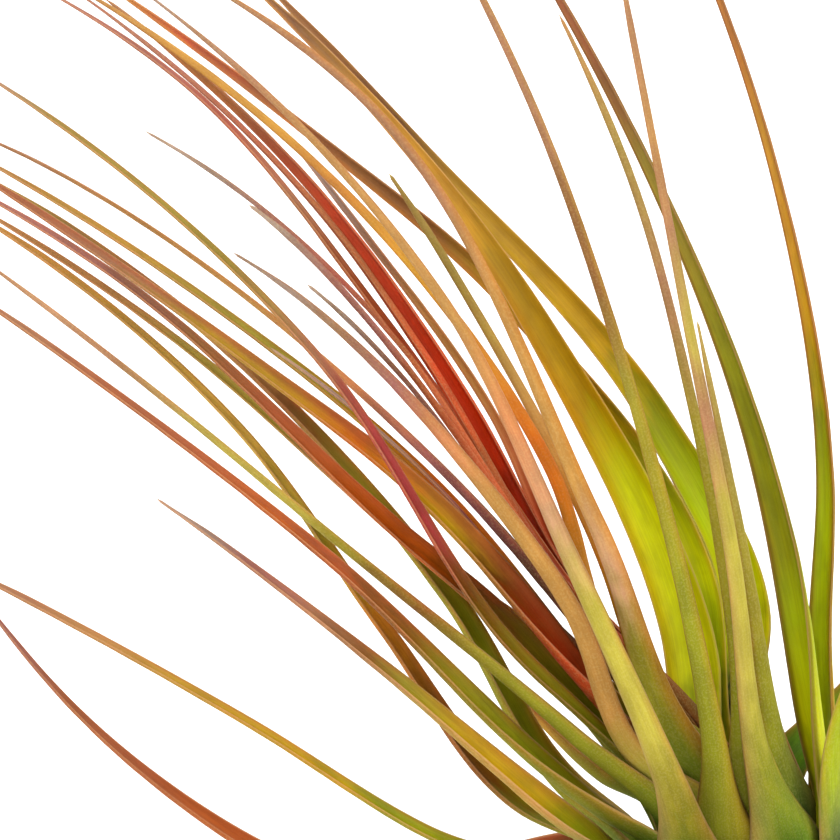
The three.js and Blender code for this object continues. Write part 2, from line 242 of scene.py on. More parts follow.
@dataclass(frozen=True)
class LeafFinish:
    """A living leaf blade: waxy tissue under a scurf of fine pale scales, veined along its length.

    Its shades are named from the sheath's top to the tip and follow each other evenly. The inner face
    is glossy and saturated, and the outer one is velvety, with pale scales. The rim browns or yellows
    the outer parts of the blade, the flank colours one half of it, the half that its lean has the sign
    of, and the margin is a painted highlight, a thin pale line along the edge. The line is the strength
    of a dark line beside that edge.
    """

    shades: str
    rim: Tone = Tone.RUST
    flank: Tone = Tone.RUST
    lean: float = 0.0
    margin: Tone = Tone.PINK_TAN
    scurf: float = 0.5
    line: float = 0.0

    def coats(self) -> tuple[Coat, ...]:
        """List the layers of colour over the shades.

        Returns:
            The layers from the lowest to the topmost: the browned outer parts, the flank, the veins and
            patches, the dusty far end, the haze and the specks of scales, the dark line and the painted
            highlight along the margin.
        """
        return (
            Coat(self.rim, (Span("side", 0.5, 0.95, 0.0, 0.4), Span("patches", 0.3, 0.65, 0.3, 1.0))),
            Coat(self.flank, (Span("across", 0.0, math.copysign(0.75, self.lean), 0.0, abs(self.lean)),)),
            Coat(Tone.VEIN, (Span("veins", 0.35, 0.65, 0.2, 0.0),), "MULTIPLY"),
            Coat(Tone.PATCH, (Span("patches", 0.35, 0.65, 0.25, 0.0),), "MULTIPLY"),
            Coat(Tone.TAUPE, (Span("along", 0.45, 1.0, 0.0, 0.5),)),
            Coat(Tone.SCALE, (Span("face", -0.2, 0.3, 0.05 * self.scurf, 0.0),)),
            Coat(Tone.SCALE, (Span("scales", 0.45, 0.65, 0.0, 0.16 * self.scurf),
                              Span("face", -0.2, 0.3, 1.0, 0.15)), raised=True),
            Coat(Tone.DARK_BROWN, (Span("side", 0.74, 0.88, 0.0, self.line),)),
            # The margin coat is a painted highlight: a thin pale line along both edges of the blade.
            Coat(self.margin, (Span("side", 0.9, 0.97, 0.0, 0.32),)))

    def ramp(self, tree: bpy.types.NodeTree, place: bpy.types.NodeSocket) -> bpy.types.NodeSocket:
        """Lay the shades along the leaf.

        Args:
            tree: the material's tree.
            place: the socket that says how far along the leaf a point is.

        Returns:
            The colour socket.
        """
        tones = [Tone[name.upper()] for name in self.shades.split()]
        last = len(tones) - 1
        stops = [(0.0, Tone.SHEATH), (SHEATH_SHARE / 2, tones[0])]
        stops += [(lerp(SHEATH_SHARE, 1, index / last), tone) for index, tone in enumerate(tones)]
        colour = add_node(tree, "ShaderNodeValToRGB", {}, {0: place})
        elements = colour.node.color_ramp.elements
        elements[0].position, elements[0].color = 0.0, linear(stops[0][1].value)
        elements[1].position, elements[1].color = 1.0, linear(stops[-1][1].value)
        for position, tone in stops[1:-1]:
            elements.new(position).color = linear(tone.value)
        return colour

    def read_skin(self, tree: bpy.types.NodeTree) -> dict[str, bpy.types.NodeSocket]:
        """Read what the skin's points carry, and lay the markings over it.

        Args:
            tree: the material's tree.

        Returns:
            The sockets by name. The face runs from -1 on the outer face to 1 on the inner one, the side
            is the distance from the blade's middle line, as a share of half the blade, and the place is
            the share of the leaf's length with the straying of the shades in it.
        """
        add = partial(add_node, tree)
        values = {name: add("ShaderNodeAttribute", {"attribute_name": name}, {}, "Fac")
                  for name in ("across", "face", "along")}
        skin = add("ShaderNodeAttribute", {"attribute_name": "skin"}, {}, "Vector")
        for marking in MARKINGS:
            scale = (1 / marking.width, 1 / marking.length, 1.0)
            mapping = add("ShaderNodeMapping", {"vector_type": "POINT"}, {0: skin, 3: scale})
            values[marking.name] = add("ShaderNodeTexNoise", {}, {
                "Vector": mapping, "Scale": 1.0, "Detail": marking.detail})
        values["side"] = add("ShaderNodeMath", {"operation": "ABSOLUTE"}, {0: values["across"]})
        values["place"] = values["along"]
        for name, reach in STRAYING:
            offset = add("ShaderNodeMath", {"operation": "SUBTRACT"}, {0: values[name], 1: 0.5})
            values["place"] = add("ShaderNodeMath", {"operation": "MULTIPLY_ADD"}, {
                0: offset, 1: reach, 2: values["place"]})
        return values

    def material(self, name: str) -> bpy.types.Material:
        """Build the finish as a material.

        Args:
            name: the material's name.

        Returns:
            The new material.
        """
        material = bpy.data.materials.new(name)
        material.use_nodes = True
        tree = material.node_tree
        shader = tree.nodes["Principled BSDF"].inputs
        add = partial(add_node, tree)
        values = self.read_skin(tree)
        colour = self.ramp(tree, values["place"])
        height = values["veins"]
        for coat in self.coats():
            strength: Any = 1.0
            for span in coat.spans:
                part = add("ShaderNodeMapRange", {"interpolation_type": "SMOOTHSTEP"}, {
                    0: values[span.value], 1: span.start, 2: span.end, 3: span.before, 4: span.after})
                strength = add("ShaderNodeMath", {"operation": "MULTIPLY"}, {0: strength, 1: part})
            colour = add("ShaderNodeMix", {"data_type": "RGBA", "blend_type": coat.mixing}, {
                0: strength, 6: colour, 7: linear(coat.tone.value)}, 2)
            if coat.raised:
                height = add("ShaderNodeMath", {"operation": "ADD"}, {0: height, 1: strength})
        tree.links.new(colour, shader["Base Color"])
        tree.links.new(add("ShaderNodeBump", {}, {
            "Strength": LEAF_RELIEF, "Distance": LEAF_RELIEF_HEIGHT, "Height": height}), shader["Normal"])
        tree.links.new(add("ShaderNodeMapRange", {"interpolation_type": "SMOOTHSTEP"}, {
            0: values["face"], 1: -0.3, 2: 0.3, 3: OUTER_ROUGHNESS, 4: INNER_ROUGHNESS}),
            shader["Roughness"])
        for socket, value in (("IOR", LEAF_IOR), ("Specular IOR Level", LEAF_SPECULAR),
                              ("Subsurface Weight", LEAF_GLOW), ("Subsurface Radius", LEAF_GLOW_RADII),
                              ("Subsurface Scale", LEAF_GLOW_DEPTH)):
            shader[socket].default_value = value
        return material


@dataclass(frozen=True)
class StemFinish:
    """The plant's dry stem: brown fibre, split lengthwise.

    The grain is the fibres' width, both ways across the stem, and their length, in millimetres. A real
    fibre is a third as wide, too fine to show.
    """

    dark: Tone = Tone.DARK_BROWN
    light: Tone = Tone.FIBRE
    grain: tuple[float, float, float] = (1.111, 1.111, 8.333)

    def material(self, name: str) -> bpy.types.Material:
        """Build the finish as a material.

        Args:
            name: the material's name.

        Returns:
            The new material.
        """
        material = bpy.data.materials.new(name)
        material.use_nodes = True
        tree = material.node_tree
        shader = tree.nodes["Principled BSDF"].inputs
        add = partial(add_node, tree)
        place = add("ShaderNodeTexCoord", {}, {}, "Object")
        mapping = add("ShaderNodeMapping", {}, {0: place, 3: [1 / (size * MM) for size in self.grain]})
        fibres = add("ShaderNodeTexNoise", {}, {"Vector": mapping, "Scale": 1.0, "Detail": 5.0})
        colour = add("ShaderNodeMix", {"data_type": "RGBA"}, {
            0: fibres, 6: linear(self.dark.value), 7: linear(self.light.value)}, 2)
        tree.links.new(colour, shader["Base Color"])
        tree.links.new(add("ShaderNodeBump", {}, {
            "Strength": FIBRE_RELIEF, "Distance": FIBRE_RELIEF_HEIGHT, "Height": fibres}),
            shader["Normal"])
        shader["Roughness"].default_value = FIBRE_ROUGHNESS
        return material


@dataclass(frozen=True)
class Leaf:
    """One leaf: where it stands in the rosette, its shape and its finish.

    The twist is in degrees. The widths are those of the flattened blade at its start, at the rosette's
    middle share of its length and at its tip, and the route is the points that it passes through, the
    tip last, all in millimetres.
    """

    name: str
    layer: int
    place: int
    twist: float
    widths: tuple[float, float, float]
    slot: Slot
    route: Route
    finish: LeafFinish


@dataclass
class LeafRow:
    """One row of a leaf: its middle point and how its section bends there, in millimetres.

    The section is an arc. The bend is its radius, and the curl is half its angle. Along is the share of
    the colour scale, run is the distance from the sheath's top, and body is the share of the leaf's full
    thickness.
    """

    point: Vector
    side: Vector
    inward: Vector
    bend: float
    curl: float
    along: float
    run: float
    body: float = 1.0


@dataclass
class Rosette:
    """The nested layers that the leaves stand in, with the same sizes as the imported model's.

    Lengths are in millimetres. The brim is how much wider than the solid each half of a blade is drawn,
    because a rounded margin looks narrower than a square one, and it comes in over the brim share.
    """

    lean: float = math.radians(17)
    curve_radius: float = 1.8
    curve_height: float = 17.0
    curve_start: float = math.radians(17)
    first_layer: float = 1.0
    layer_step: float = 1.3
    inner_top: float = 42.0
    outer_top: float = 20.0
    inner_flare: float = math.radians(1)
    outer_flare: float = math.radians(30)
    spread_power: float = 2.2
    side_gap: float = 0.25
    leaves_in_layer: tuple[int, ...] = (4, 4, 5, 5, 6, 6, 6, 6, 6, 8, 8)
    layer_turn: float = 37.5
    inner_flare_length: float = 5.0
    outer_flare_length: float = 14.0
    flare_power: float = 1.3
    thickness: float = 0.7
    start_pull: float = 0.8
    middle_share: float = 0.35
    widening: float = 0.1
    twist_share: float = 0.3
    channel: float = 1.25
    tightest_curl: float = 0.55
    brim: float = 0.3
    brim_share: float = 0.1
    arc_steps: int = 7
    sheath_steps: int = 6
    blade_steps: int = 96
    point_share: float = 0.12
    point_size: float = 0.35
    end_share: float = 0.01
    end_size: float = 0.1
    tip_body: float = 0.6

    def __post_init__(self) -> None:
        """Work out the directions of the leaning axis."""
        self.axis = Vector((-math.sin(self.lean), 0, math.cos(self.lean)))
        self.to_right = Vector((math.cos(self.lean), 0, math.sin(self.lean)))
        self.to_back = Vector((0, 1, 0))

    def outward(self, turn: float) -> Vector:
        """Return the direction square to the axis at a turn round it."""
        return self.to_right * math.cos(turn) + self.to_back * math.sin(turn)

    def rows(self, leaf: Leaf) -> list[LeafRow]:
        """Work out every row of a leaf, from its foot at the stem to its tip.

        Args:
            leaf: the leaf.

        Returns:
            The rows in order.
        """
        outermost = len(self.leaves_in_layer) - 1
        share = (leaf.layer / outermost) ** self.spread_power
        reach = self.first_layer + self.layer_step * leaf.layer
        top = lerp(self.inner_top, self.outer_top, share)
        flare = lerp(self.inner_flare, self.outer_flare, share)
        flare_length = lerp(self.inner_flare_length, self.outer_flare_length, leaf.layer / outermost)
        places = self.leaves_in_layer[leaf.layer]
        turn = math.radians(leaf.layer * self.layer_turn + leaf.place * 360 / places)
        out = self.outward(turn)
        side = self.axis.cross(out)
        steepest = math.pi / 2 - flare
        profile = []
        for step in range(self.arc_steps):
            slope = lerp(self.curve_start, steepest, step / (self.arc_steps - 1))
            profile.append((self.curve_radius + reach * math.sin(slope),
                            self.curve_height - reach * math.cos(slope)))
        foot_radius, foot_height = profile[-1]
        for step in range(1, self.sheath_steps + 1):
            height = lerp(foot_height, top, step / self.sheath_steps)
            profile.append((foot_radius + (height - foot_height) * math.tan(flare), height))
        lengths = [math.dist(a, b) for a, b in zip(profile, profile[1:])]
        rows = []
        run = -sum(lengths)
        foot = run
        for index, (radius, height) in enumerate(profile):
            rows.append(LeafRow(out * radius + self.axis * height, side, -out, radius,
                                math.pi / places - self.side_gap / radius,
                                SHEATH_SHARE * (1 - run / foot), run))
            run += lengths[index] if index < len(lengths) else 0.0
        rows[0].body = 0.0
        heading = out * math.sin(flare) + self.axis * math.cos(flare)
        inward = self.axis * math.sin(flare) - out * math.cos(flare)
        return rows + self.blade(leaf, rows[-1], heading, inward, flare, flare_length)

    def blade(self, leaf: Leaf, start: LeafRow, heading: Vector, inward: Vector, flare: float,
              flare_length: float) -> list[LeafRow]:
        """Carry a leaf's channelled section along its route, and turn it by the leaf's twist.

        Args:
            leaf: the leaf.
            start: the row at the sheath's top.
            heading: the way that the leaf runs there.
            inward: the way that its inner face looks there.
            flare: how far its sheath leans out.
            flare_length: the run over which the sheath's width gives way to the blade's.

        Returns:
            The rows after the sheath's top.
        """
        line = self.middle_line(start.point, heading, leaf.route)
        half_top = start.bend * start.curl
        rows = []
        run = 0.0
        previous = start.point
        untwisted = inward.copy()
        for step in range(1, self.blade_steps + 1):
            share = step / self.blade_steps
            point = line(share)
            ahead = line(min(share + 0.5 / self.blade_steps, 1.0))
            now = (ahead - line(share - 0.5 / self.blade_steps)).normalized()
            untwisted.rotate(heading.rotation_difference(now))
            heading = now
            run += (point - previous).length
            previous = point
            twist = math.radians(leaf.twist) * smooth(share / self.twist_share)
            facing = Quaternion(heading, twist) @ untwisted
            settle = math.exp(-((run / flare_length) ** self.flare_power))
            opened = min(self.open_width(leaf.widths, share) / 2, half_top + self.widening * run)
            brim = self.brim * smooth(share / self.brim_share)
            half = lerp(opened + brim, max(half_top, opened), settle)
            curl = min(lerp(self.channel, start.curl, settle), half / self.tightest_curl)
            half *= lerp(self.point_size, 1.0, smooth((1 - share) / self.point_share))
            half *= lerp(self.end_size, 1.0, math.sqrt(min((1 - share) / self.end_share, 1.0)))
            lean = flare * settle
            rows.append(LeafRow(point, facing.cross(heading),
                                facing * math.cos(lean) - heading * math.sin(lean), half / curl, curl,
                                lerp(SHEATH_SHARE, 1, share), run, lerp(1.0, self.tip_body, share)))
        rows[-1].body = 0.0
        return rows

    def open_width(self, widths: tuple[float, float, float], share: float) -> float:
        """Say how wide a flattened blade is at a share of its length.

        Args:
            widths: its widths at its start, at the middle share and at its tip.
            share: the share of its length.

        Returns:
            The width on the smooth curve through the three.
        """
        base, middle, tip = widths
        away = self.middle_share - share
        return (base ** (away * (1 - share) / self.middle_share)
                * middle ** (share * (1 - share) / (self.middle_share * (1 - self.middle_share)))
                * tip ** (-share * away / (1 - self.middle_share)))

    def middle_line(self, start: Vector, along: Vector, route: Route) -> Callable[[float], Vector]:
        """Draw a smooth curve from the sheath's top through the points of a leaf's route.

        Args:
            start: the middle of the sheath's top.
            along: the way that the sheath runs there.
            route: the points that the leaf passes through, the tip last.

        Returns:
            A function that gives the curve's point at a share of its length.
        """
        knots = [start, *(Vector(point) for point in route)]
        spans = [(b - a).length for a, b in zip(knots, knots[1:])]
        chords = [(b - a) / span for a, b, span in zip(knots, knots[1:], spans)]
        slopes = [along * self.start_pull]
        for index in range(1, len(route)):
            slopes.append((chords[index - 1] * spans[index] + chords[index] * spans[index - 1])
                          / (spans[index - 1] + spans[index]))
        slopes.append(chords[-1] * 2 - slopes[-1])

        def at(share: float) -> Vector:
            """Return the curve's point at a share of its length."""
            index = 0
            distance = share * sum(spans)
            while index < len(spans) - 1 and distance > spans[index]:
                distance -= spans[index]
                index += 1
            t = distance / spans[index]
            return (knots[index] * (2 * t ** 3 - 3 * t ** 2 + 1)
                    + slopes[index] * spans[index] * (t ** 3 - 2 * t ** 2 + t)
                    + knots[index + 1] * (3 * t ** 2 - 2 * t ** 3)
                    + slopes[index + 1] * spans[index] * (t ** 3 - t ** 2))
        return at


@dataclass
class LeafSkin:
    """The Geometry Nodes tree that spreads a leaf's skin over its rows.

    The rim's start is the share of the half width past which a point counts as on the margin. A wave is
    one of the blade's slight swellings, and the leaf step sets one leaf's markings apart from the next's.
    """

    across: int = 15
    roundness: float = 6.0
    rim_start: float = 0.99
    waves_in_mm: float = 0.12
    leaf_step: float = 7.3
    merge_reach: float = 0.002 * MM
    sockets: dict[str, str] = field(default_factory=dict)

    def open_tree(self) -> bpy.types.NodeTree:
        """Make the empty tree with its named inputs, and keep their identifiers in sockets.

        Returns:
            The tree.
        """
        tree = bpy.data.node_groups.new("leaf_skin", "GeometryNodeTree")
        face = tree.interface
        face.new_socket("Geometry", in_out="OUTPUT", socket_type="NodeSocketGeometry")
        face.new_socket("Geometry", in_out="INPUT", socket_type="NodeSocketGeometry")
        for name, kind in (("Rows", "Int"), ("Points across", "Int"), ("Thickness", "Float"),
                           ("Unevenness", "Float"), ("Seed", "Int"), ("Finish", "Material")):
            socket = face.new_socket(name, in_out="INPUT", socket_type="NodeSocket" + kind)
            self.sockets[name] = socket.identifier
        return tree

    def sums(self) -> tuple[tuple[Any, ...], ...]:
        """List the sums that give every point its place.

        Returns:
            For each sum its name, its operation and its terms, which are numbers, inputs of the tree,
            values of the points or the names of earlier sums.
        """
        return (
            ("last row", "SUBTRACT", "Rows", 1.0),
            ("share of rows", "ADD", "grid x", 0.5),
            ("grid row", "MULTIPLY", "share of rows", "last row"),
            # A point on the margin takes no end row, so that the corners of both faces close cleanly.
            ("side", "ABSOLUTE", "across"),
            ("on rim", "GREATER_THAN", "side", self.rim_start),
            ("last for point", "SUBTRACT", "last row", "on rim"),
            ("row below last", "MINIMUM", "row", "last for point"),
            ("row taken", "MAXIMUM", "on rim", "row below last"),
            # The section is an arc with the row's bend as its radius.
            ("angle", "MULTIPLY", "across", "curl"),
            ("sine", "SINE", "angle"),
            ("sideways", "MULTIPLY", "bend", "sine"),
            ("cosine", "COSINE", "angle"),
            ("off cosine", "SUBTRACT", 1.0, "cosine"),
            ("rise", "MULTIPLY", "bend", "off cosine"),
            ("arc", "MULTIPLY", "angle", "bend"),
            ("arc in mm", "DIVIDE", "arc", MM),
            ("leaf place", "MULTIPLY", "Seed", self.leaf_step),
            # Both faces meet in a rounded margin.
            ("edge", "POWER", "side", self.roundness),
            ("off edge", "SUBTRACT", 1.0, "edge"),
            ("held off edge", "MAXIMUM", "off edge", 0.0),
            ("fullness", "SQRT", "held off edge"),
            ("body here", "MULTIPLY", "fullness", "body"),
            ("half thickness", "MULTIPLY", "Thickness", 0.5),
            ("to inner", "MULTIPLY", "half thickness", "body here"),
            ("to outer", "MULTIPLY", "to inner", -1.0),
            ("outer fullness", "MULTIPLY", "fullness", -1.0),
            ("off wave", "SUBTRACT", "wave", 0.5),
            ("swelling", "MULTIPLY", "Unevenness", "body here"),
            ("uneven", "MULTIPLY", "off wave", "swelling"))

    def build(self) -> bpy.types.NodeTree:
        """Build the tree.

        Returns:
            The tree. It takes a line of rows and gives the leaf's closed skin in its finish.
        """
        tree = self.open_tree()
        add = partial(add_node, tree)
        given = add("NodeGroupInput").node.outputs
        values: dict[Any, Any] = {socket.name: socket for socket in given}
        position = add("GeometryNodeInputPosition")
        normal = add("GeometryNodeInputNormal")
        spot = add("ShaderNodeSeparateXYZ", {}, {0: position}).node.outputs
        values["grid x"] = spot[0]
        for name in ("row", "across", "run", "bend", "curl", "body"):
            values[name] = add("GeometryNodeInputNamedAttribute", {"data_type": "FLOAT"}, {"Name": name},
                               "Attribute")
        skin = add("GeometryNodeInputNamedAttribute", {"data_type": "FLOAT_VECTOR"}, {"Name": "skin"},
                   "Attribute")
        values["wave"] = add("ShaderNodeTexNoise", {}, {
            "Vector": skin, "Scale": self.waves_in_mm, "Detail": 2.0})
        for name, operation, *terms in self.sums():
            values[name] = add("ShaderNodeMath", {"operation": operation}, {
                slot: values.get(term, term) for slot, term in enumerate(terms)})
        row = add("FunctionNodeFloatToInt", {"rounding_mode": "ROUND"}, {0: values["row taken"]})

        sheet = add("GeometryNodeMeshGrid", {}, {
            "Size X": 1.0, "Size Y": 2.0, "Vertices X": values["Rows"],
            "Vertices Y": values["Points across"]})
        for name, value in (("row", values["grid row"]), ("across", spot[1])):
            sheet = add("GeometryNodeStoreNamedAttribute", {"data_type": "FLOAT"}, {
                "Geometry": sheet, "Name": name, "Value": value})
        taken = {}
        for name, kind in (("along", "FLOAT"), ("run", "FLOAT"), ("bend", "FLOAT"), ("curl", "FLOAT"),
                           ("body", "FLOAT"), ("side", "FLOAT_VECTOR"), ("inward", "FLOAT_VECTOR"),
                           ("centre", "FLOAT_VECTOR")):
            value = position
            if name != "centre":
                value = add("GeometryNodeInputNamedAttribute", {"data_type": kind}, {"Name": name},
                            "Attribute")
            taken[name] = add("GeometryNodeSampleIndex", {"data_type": kind, "domain": "POINT"}, {
                "Geometry": given["Geometry"], "Value": value, "Index": row})
            if kind == "FLOAT":
                sheet = add("GeometryNodeStoreNamedAttribute", {"data_type": kind}, {
                    "Geometry": sheet, "Name": name, "Value": taken[name]})
        place = taken["centre"]
        for way, distance in (("side", "sideways"), ("inward", "rise")):
            step = add("ShaderNodeVectorMath", {"operation": "SCALE"}, {0: taken[way], 3: values[distance]})
            place = add("ShaderNodeVectorMath", {"operation": "ADD"}, {0: place, 1: step})
        middle = add("GeometryNodeSetPosition", {}, {"Geometry": sheet, "Position": place})
        on_skin = add("ShaderNodeCombineXYZ", {}, {
            0: values["arc in mm"], 1: values["run"], 2: values["leaf place"]})
        middle = add("GeometryNodeStoreNamedAttribute", {"data_type": "FLOAT_VECTOR"}, {
            "Geometry": middle, "Name": "skin", "Value": on_skin})
        moved = add("ShaderNodeVectorMath", {"operation": "SCALE"}, {0: normal, 3: values["uneven"]})
        middle = add("GeometryNodeSetPosition", {}, {"Geometry": middle, "Offset": moved})

        faces = []
        for distance, fullness in (("to inner", "fullness"), ("to outer", "outer fullness")):
            moved = add("ShaderNodeVectorMath", {"operation": "SCALE"}, {0: normal, 3: values[distance]})
            face = add("GeometryNodeSetPosition", {}, {"Geometry": middle, "Offset": moved})
            faces.append(add("GeometryNodeStoreNamedAttribute", {"data_type": "FLOAT"}, {
                "Geometry": face, "Name": "face", "Value": values[fullness]}))
        both = add("GeometryNodeJoinGeometry")
        tree.links.new(faces[0], both.node.inputs[0])
        tree.links.new(add("GeometryNodeFlipFaces", {}, {0: faces[1]}), both.node.inputs[0])
        closed = add("GeometryNodeMergeByDistance", {}, {"Geometry": both, "Distance": self.merge_reach})

        # A leaf that lies on the surface is pressed flat by it.
        lifted = add("ShaderNodeMath", {"operation": "MAXIMUM"}, {0: spot[2], 1: 0.0})
        pressed = add("ShaderNodeCombineXYZ", {}, {0: spot[0], 1: spot[1], 2: lifted})
        closed = add("GeometryNodeSetPosition", {}, {"Geometry": closed, "Position": pressed})
        rounded = add("GeometryNodeSetShadeSmooth", {}, {"Geometry": closed})
        solid = add("GeometryNodeRealizeInstances", {}, {0: rounded})
        finished = add("GeometryNodeSetMaterial", {}, {"Geometry": solid, "Material": values["Finish"]})
        tree.links.new(finished, tree.nodes.new("NodeGroupOutput").inputs[0])
        return tree


@dataclass
class Foliage:
    """All the leaves of the plant."""

    leaves: tuple[Leaf, ...]
    rosette: Rosette = field(default_factory=Rosette)
    skin: LeafSkin = field(default_factory=LeafSkin)
    unevenness: float = 0.3 * MM

    def build(self) -> list[bpy.types.Object]:
        """Make and dress every leaf.

        Returns:
            The leaves' objects.
        """
        tree = self.skin.build()
        return [self.make(leaf, tree, seed) for seed, leaf in enumerate(self.leaves)]

    def make(self, leaf: Leaf, tree: bpy.types.NodeTree, seed: int) -> bpy.types.Object:
        """Make one leaf.

        Args:
            leaf: the leaf.
            tree: the tree that spreads its skin.
            seed: the number that sets its unevenness apart from the others'.

        Returns:
            The leaf's object.
        """
        rows = self.rosette.rows(leaf)
        line = bpy.data.meshes.new(leaf.name + "_rows")
        line.from_pydata([row.point * MM for row in rows], [(i, i + 1) for i in range(len(rows) - 1)], [])
        for name, kind, values in (
                ("side", "FLOAT_VECTOR", [row.side for row in rows]),
                ("inward", "FLOAT_VECTOR", [row.inward for row in rows]),
                ("bend", "FLOAT", [row.bend * MM for row in rows]),
                ("curl", "FLOAT", [row.curl for row in rows]),
                ("along", "FLOAT", [row.along for row in rows]),
                ("run", "FLOAT", [row.run for row in rows]),
                ("body", "FLOAT", [row.body for row in rows])):
            attribute = line.attributes.new(name, kind, "POINT")
            attribute.data.foreach_set("vector" if kind == "FLOAT_VECTOR" else "value",
                                       np.asarray(values, dtype=np.float32).ravel())
        path = bpy.data.objects.new(leaf.name + "_path", line)
        bpy.context.collection.objects.link(path)
        material = leaf.finish.material("scurfy_tissue_of_" + leaf.name)
        modifier = path.modifiers.new("skin", "NODES")
        modifier.node_group = tree
        for name, value in (("Rows", len(rows)), ("Points across", self.skin.across),
                            ("Thickness", self.rosette.thickness * MM), ("Unevenness", self.unevenness),
                            ("Seed", seed), ("Finish", material)):
            modifier[self.skin.sockets[name]] = value
        mesh = bpy.data.meshes.new_from_object(path.evaluated_get(bpy.context.evaluated_depsgraph_get()))
        path.modifiers.remove(modifier)
        bpy.data.objects.remove(path)
        bpy.data.meshes.remove(line)
        mesh.name = leaf.name
        piece = bpy.data.objects.new(leaf.name + "_skin", mesh)
        bpy.context.collection.objects.link(piece)
        dress(piece, material, leaf.name)
        return piece


@dataclass
class Stem:
    """The short dry stem, a blunt cone on a flat spot, ridged with fibre.

    Each ring is a height along the leaning axis and a radius, in millimetres. Past the first ring there
    are more rings between them, and at the smooth radius the ridges end.
    """

    flat_radius: float = 5.0
    rings: tuple[tuple[float, float], ...] = ((2.2, 5.0), (5.7, 4.6), (10.5, 3.1), (14.9, 1.7), (15.9, 0.9))
    steps: int = 4
    sides: int = 60
    ridges: int = 15
    ridge_height: float = 0.25
    smooth_radius: float = 1.0

    def build(self, rosette: Rosette) -> bpy.types.Object:
        """Make and dress the stem.

        Args:
            rosette: the layers that stand on it, which give its lean.

        Returns:
            The stem's object.
        """
        rings = [(Vector(), self.flat_radius, Vector((1, 0, 0)), Vector((0, 1, 0)))]
        levels = [(0.0, self.flat_radius), *self.rings]
        for (low, low_radius), (high, high_radius) in zip(levels[:-1], levels[1:]):
            steps = self.steps if low > 0 else 1
            for step in range(1, steps + 1):
                rings.append((rosette.axis * lerp(low, high, step / steps),
                              lerp(low_radius, high_radius, step / steps),
                              rosette.to_right, rosette.to_back))
        points = []
        for centre, radius, right, back in rings:
            for side in range(self.sides):
                turn = 2 * math.pi * side / self.sides
                ridged = self.ridge_height * (0.5 - 0.5 * math.cos(self.ridges * turn))
                worn = radius - ridged * (radius > self.smooth_radius)
                points.append((centre + (right * math.cos(turn) + back * math.sin(turn)) * worn) * MM)
        faces = []
        for ring in range(len(rings) - 1):
            for side in range(self.sides):
                a = ring * self.sides + side
                b = ring * self.sides + (side + 1) % self.sides
                faces.append((a, b, b + self.sides, a + self.sides))
        faces.append(tuple(reversed(range(self.sides))))
        top = (len(rings) - 1) * self.sides
        faces.append(tuple(range(top, top + self.sides)))
        mesh = bpy.data.meshes.new("stem_fibre")
        mesh.from_pydata(points, [], faces)
        piece = bpy.data.objects.new("stem_fibre", mesh)
        bpy.context.collection.objects.link(piece)
        dress(piece, StemFinish().material("dry_stem_fibre"), "stem")
        return piece


@dataclass
class Studio:
    """The pale floor, the soft lights and the camera at the photograph's angle.

    The target, the distance and the width of the view there are in millimetres. The floor's size and the
    lights' places and sizes are in metres, and their power is in watts.
    """

    target: tuple[float, float, float] = (-67.5, 0.0, 108.0)
    elevation: float = math.radians(15)
    distance: float = 800.0
    view_width: float = 840 / 5.5
    floor_size: float = 30.0
    paper_roughness: float = 0.95
    sky_light: float = 0.8

    def build(self) -> None:
        """Make the floor, the lights and the camera."""
        self.lay_floor()
        self.hang_lights()
        self.place_camera()

    def lay_floor(self) -> None:
        """Lay the floor as one large square."""
        half = self.floor_size / 2
        mesh = bpy.data.meshes.new("floor")
        mesh.from_pydata([(-half, -half, 0), (half, -half, 0), (half, half, 0), (-half, half, 0)], [],
                         [(0, 1, 2, 3)])
        floor = bpy.data.objects.new("floor", mesh)
        bpy.context.collection.objects.link(floor)
        material = bpy.data.materials.new("white_studio_paper")
        material.use_nodes = True
        shader = material.node_tree.nodes["Principled BSDF"]
        shader.inputs["Base Color"].default_value = linear(Tone.PAPER.value)
        shader.inputs["Roughness"].default_value = self.paper_roughness
        mesh.materials.append(material)

    def hang_lights(self) -> None:
        """Hang the soft lights and light the world evenly."""
        for name, place, size, power in (("key", (-0.7, -1.1, 1.5), 1.4, 34.0),
                                         ("fill", (1.1, -0.6, 0.9), 1.2, 12.0),
                                         ("back", (0.1, 1.2, 1.3), 1.4, 20.0)):
            lamp = bpy.data.lights.new(name, "AREA")
            lamp.size = size
            lamp.energy = power
            light = bpy.data.objects.new(name, lamp)
            bpy.context.collection.objects.link(light)
            light.location = place
            aim = Vector(self.target) * MM - Vector(place)
            light.rotation_euler = aim.to_track_quat("-Z", "Y").to_euler()
        world = bpy.data.worlds.new("studio")
        world.use_nodes = True
        world.node_tree.nodes["Background"].inputs[0].default_value = linear(Tone.WHITE.value)
        world.node_tree.nodes["Background"].inputs[1].default_value = self.sky_light
        bpy.context.scene.world = world

    def place_camera(self) -> None:
        """Place the camera on its target."""
        back = Vector((0, -math.cos(self.elevation), math.sin(self.elevation)))
        camera = bpy.data.cameras.new("camera")
        camera.sensor_width = 36.0
        camera.lens = camera.sensor_width * self.distance / self.view_width
        camera.clip_start = 0.01
        camera.clip_end = 50.0
        view = bpy.data.objects.new("camera", camera)
        bpy.context.collection.objects.link(view)
        view.location = (Vector(self.target) + back * self.distance) * MM
        view.rotation_euler = (-back).to_track_quat("-Z", "Y").to_euler()
        bpy.context.scene.camera = view
        bpy.context.scene.view_settings.view_transform = "Standard"


# The finishes of the leaves that the photograph doesn't show.
FRESH = LeafFinish("deep_green leaf_green olive_green olive gold rust mauve")
WEATHERED = LeafFinish("deep_green khaki khaki tan pink_tan grey")
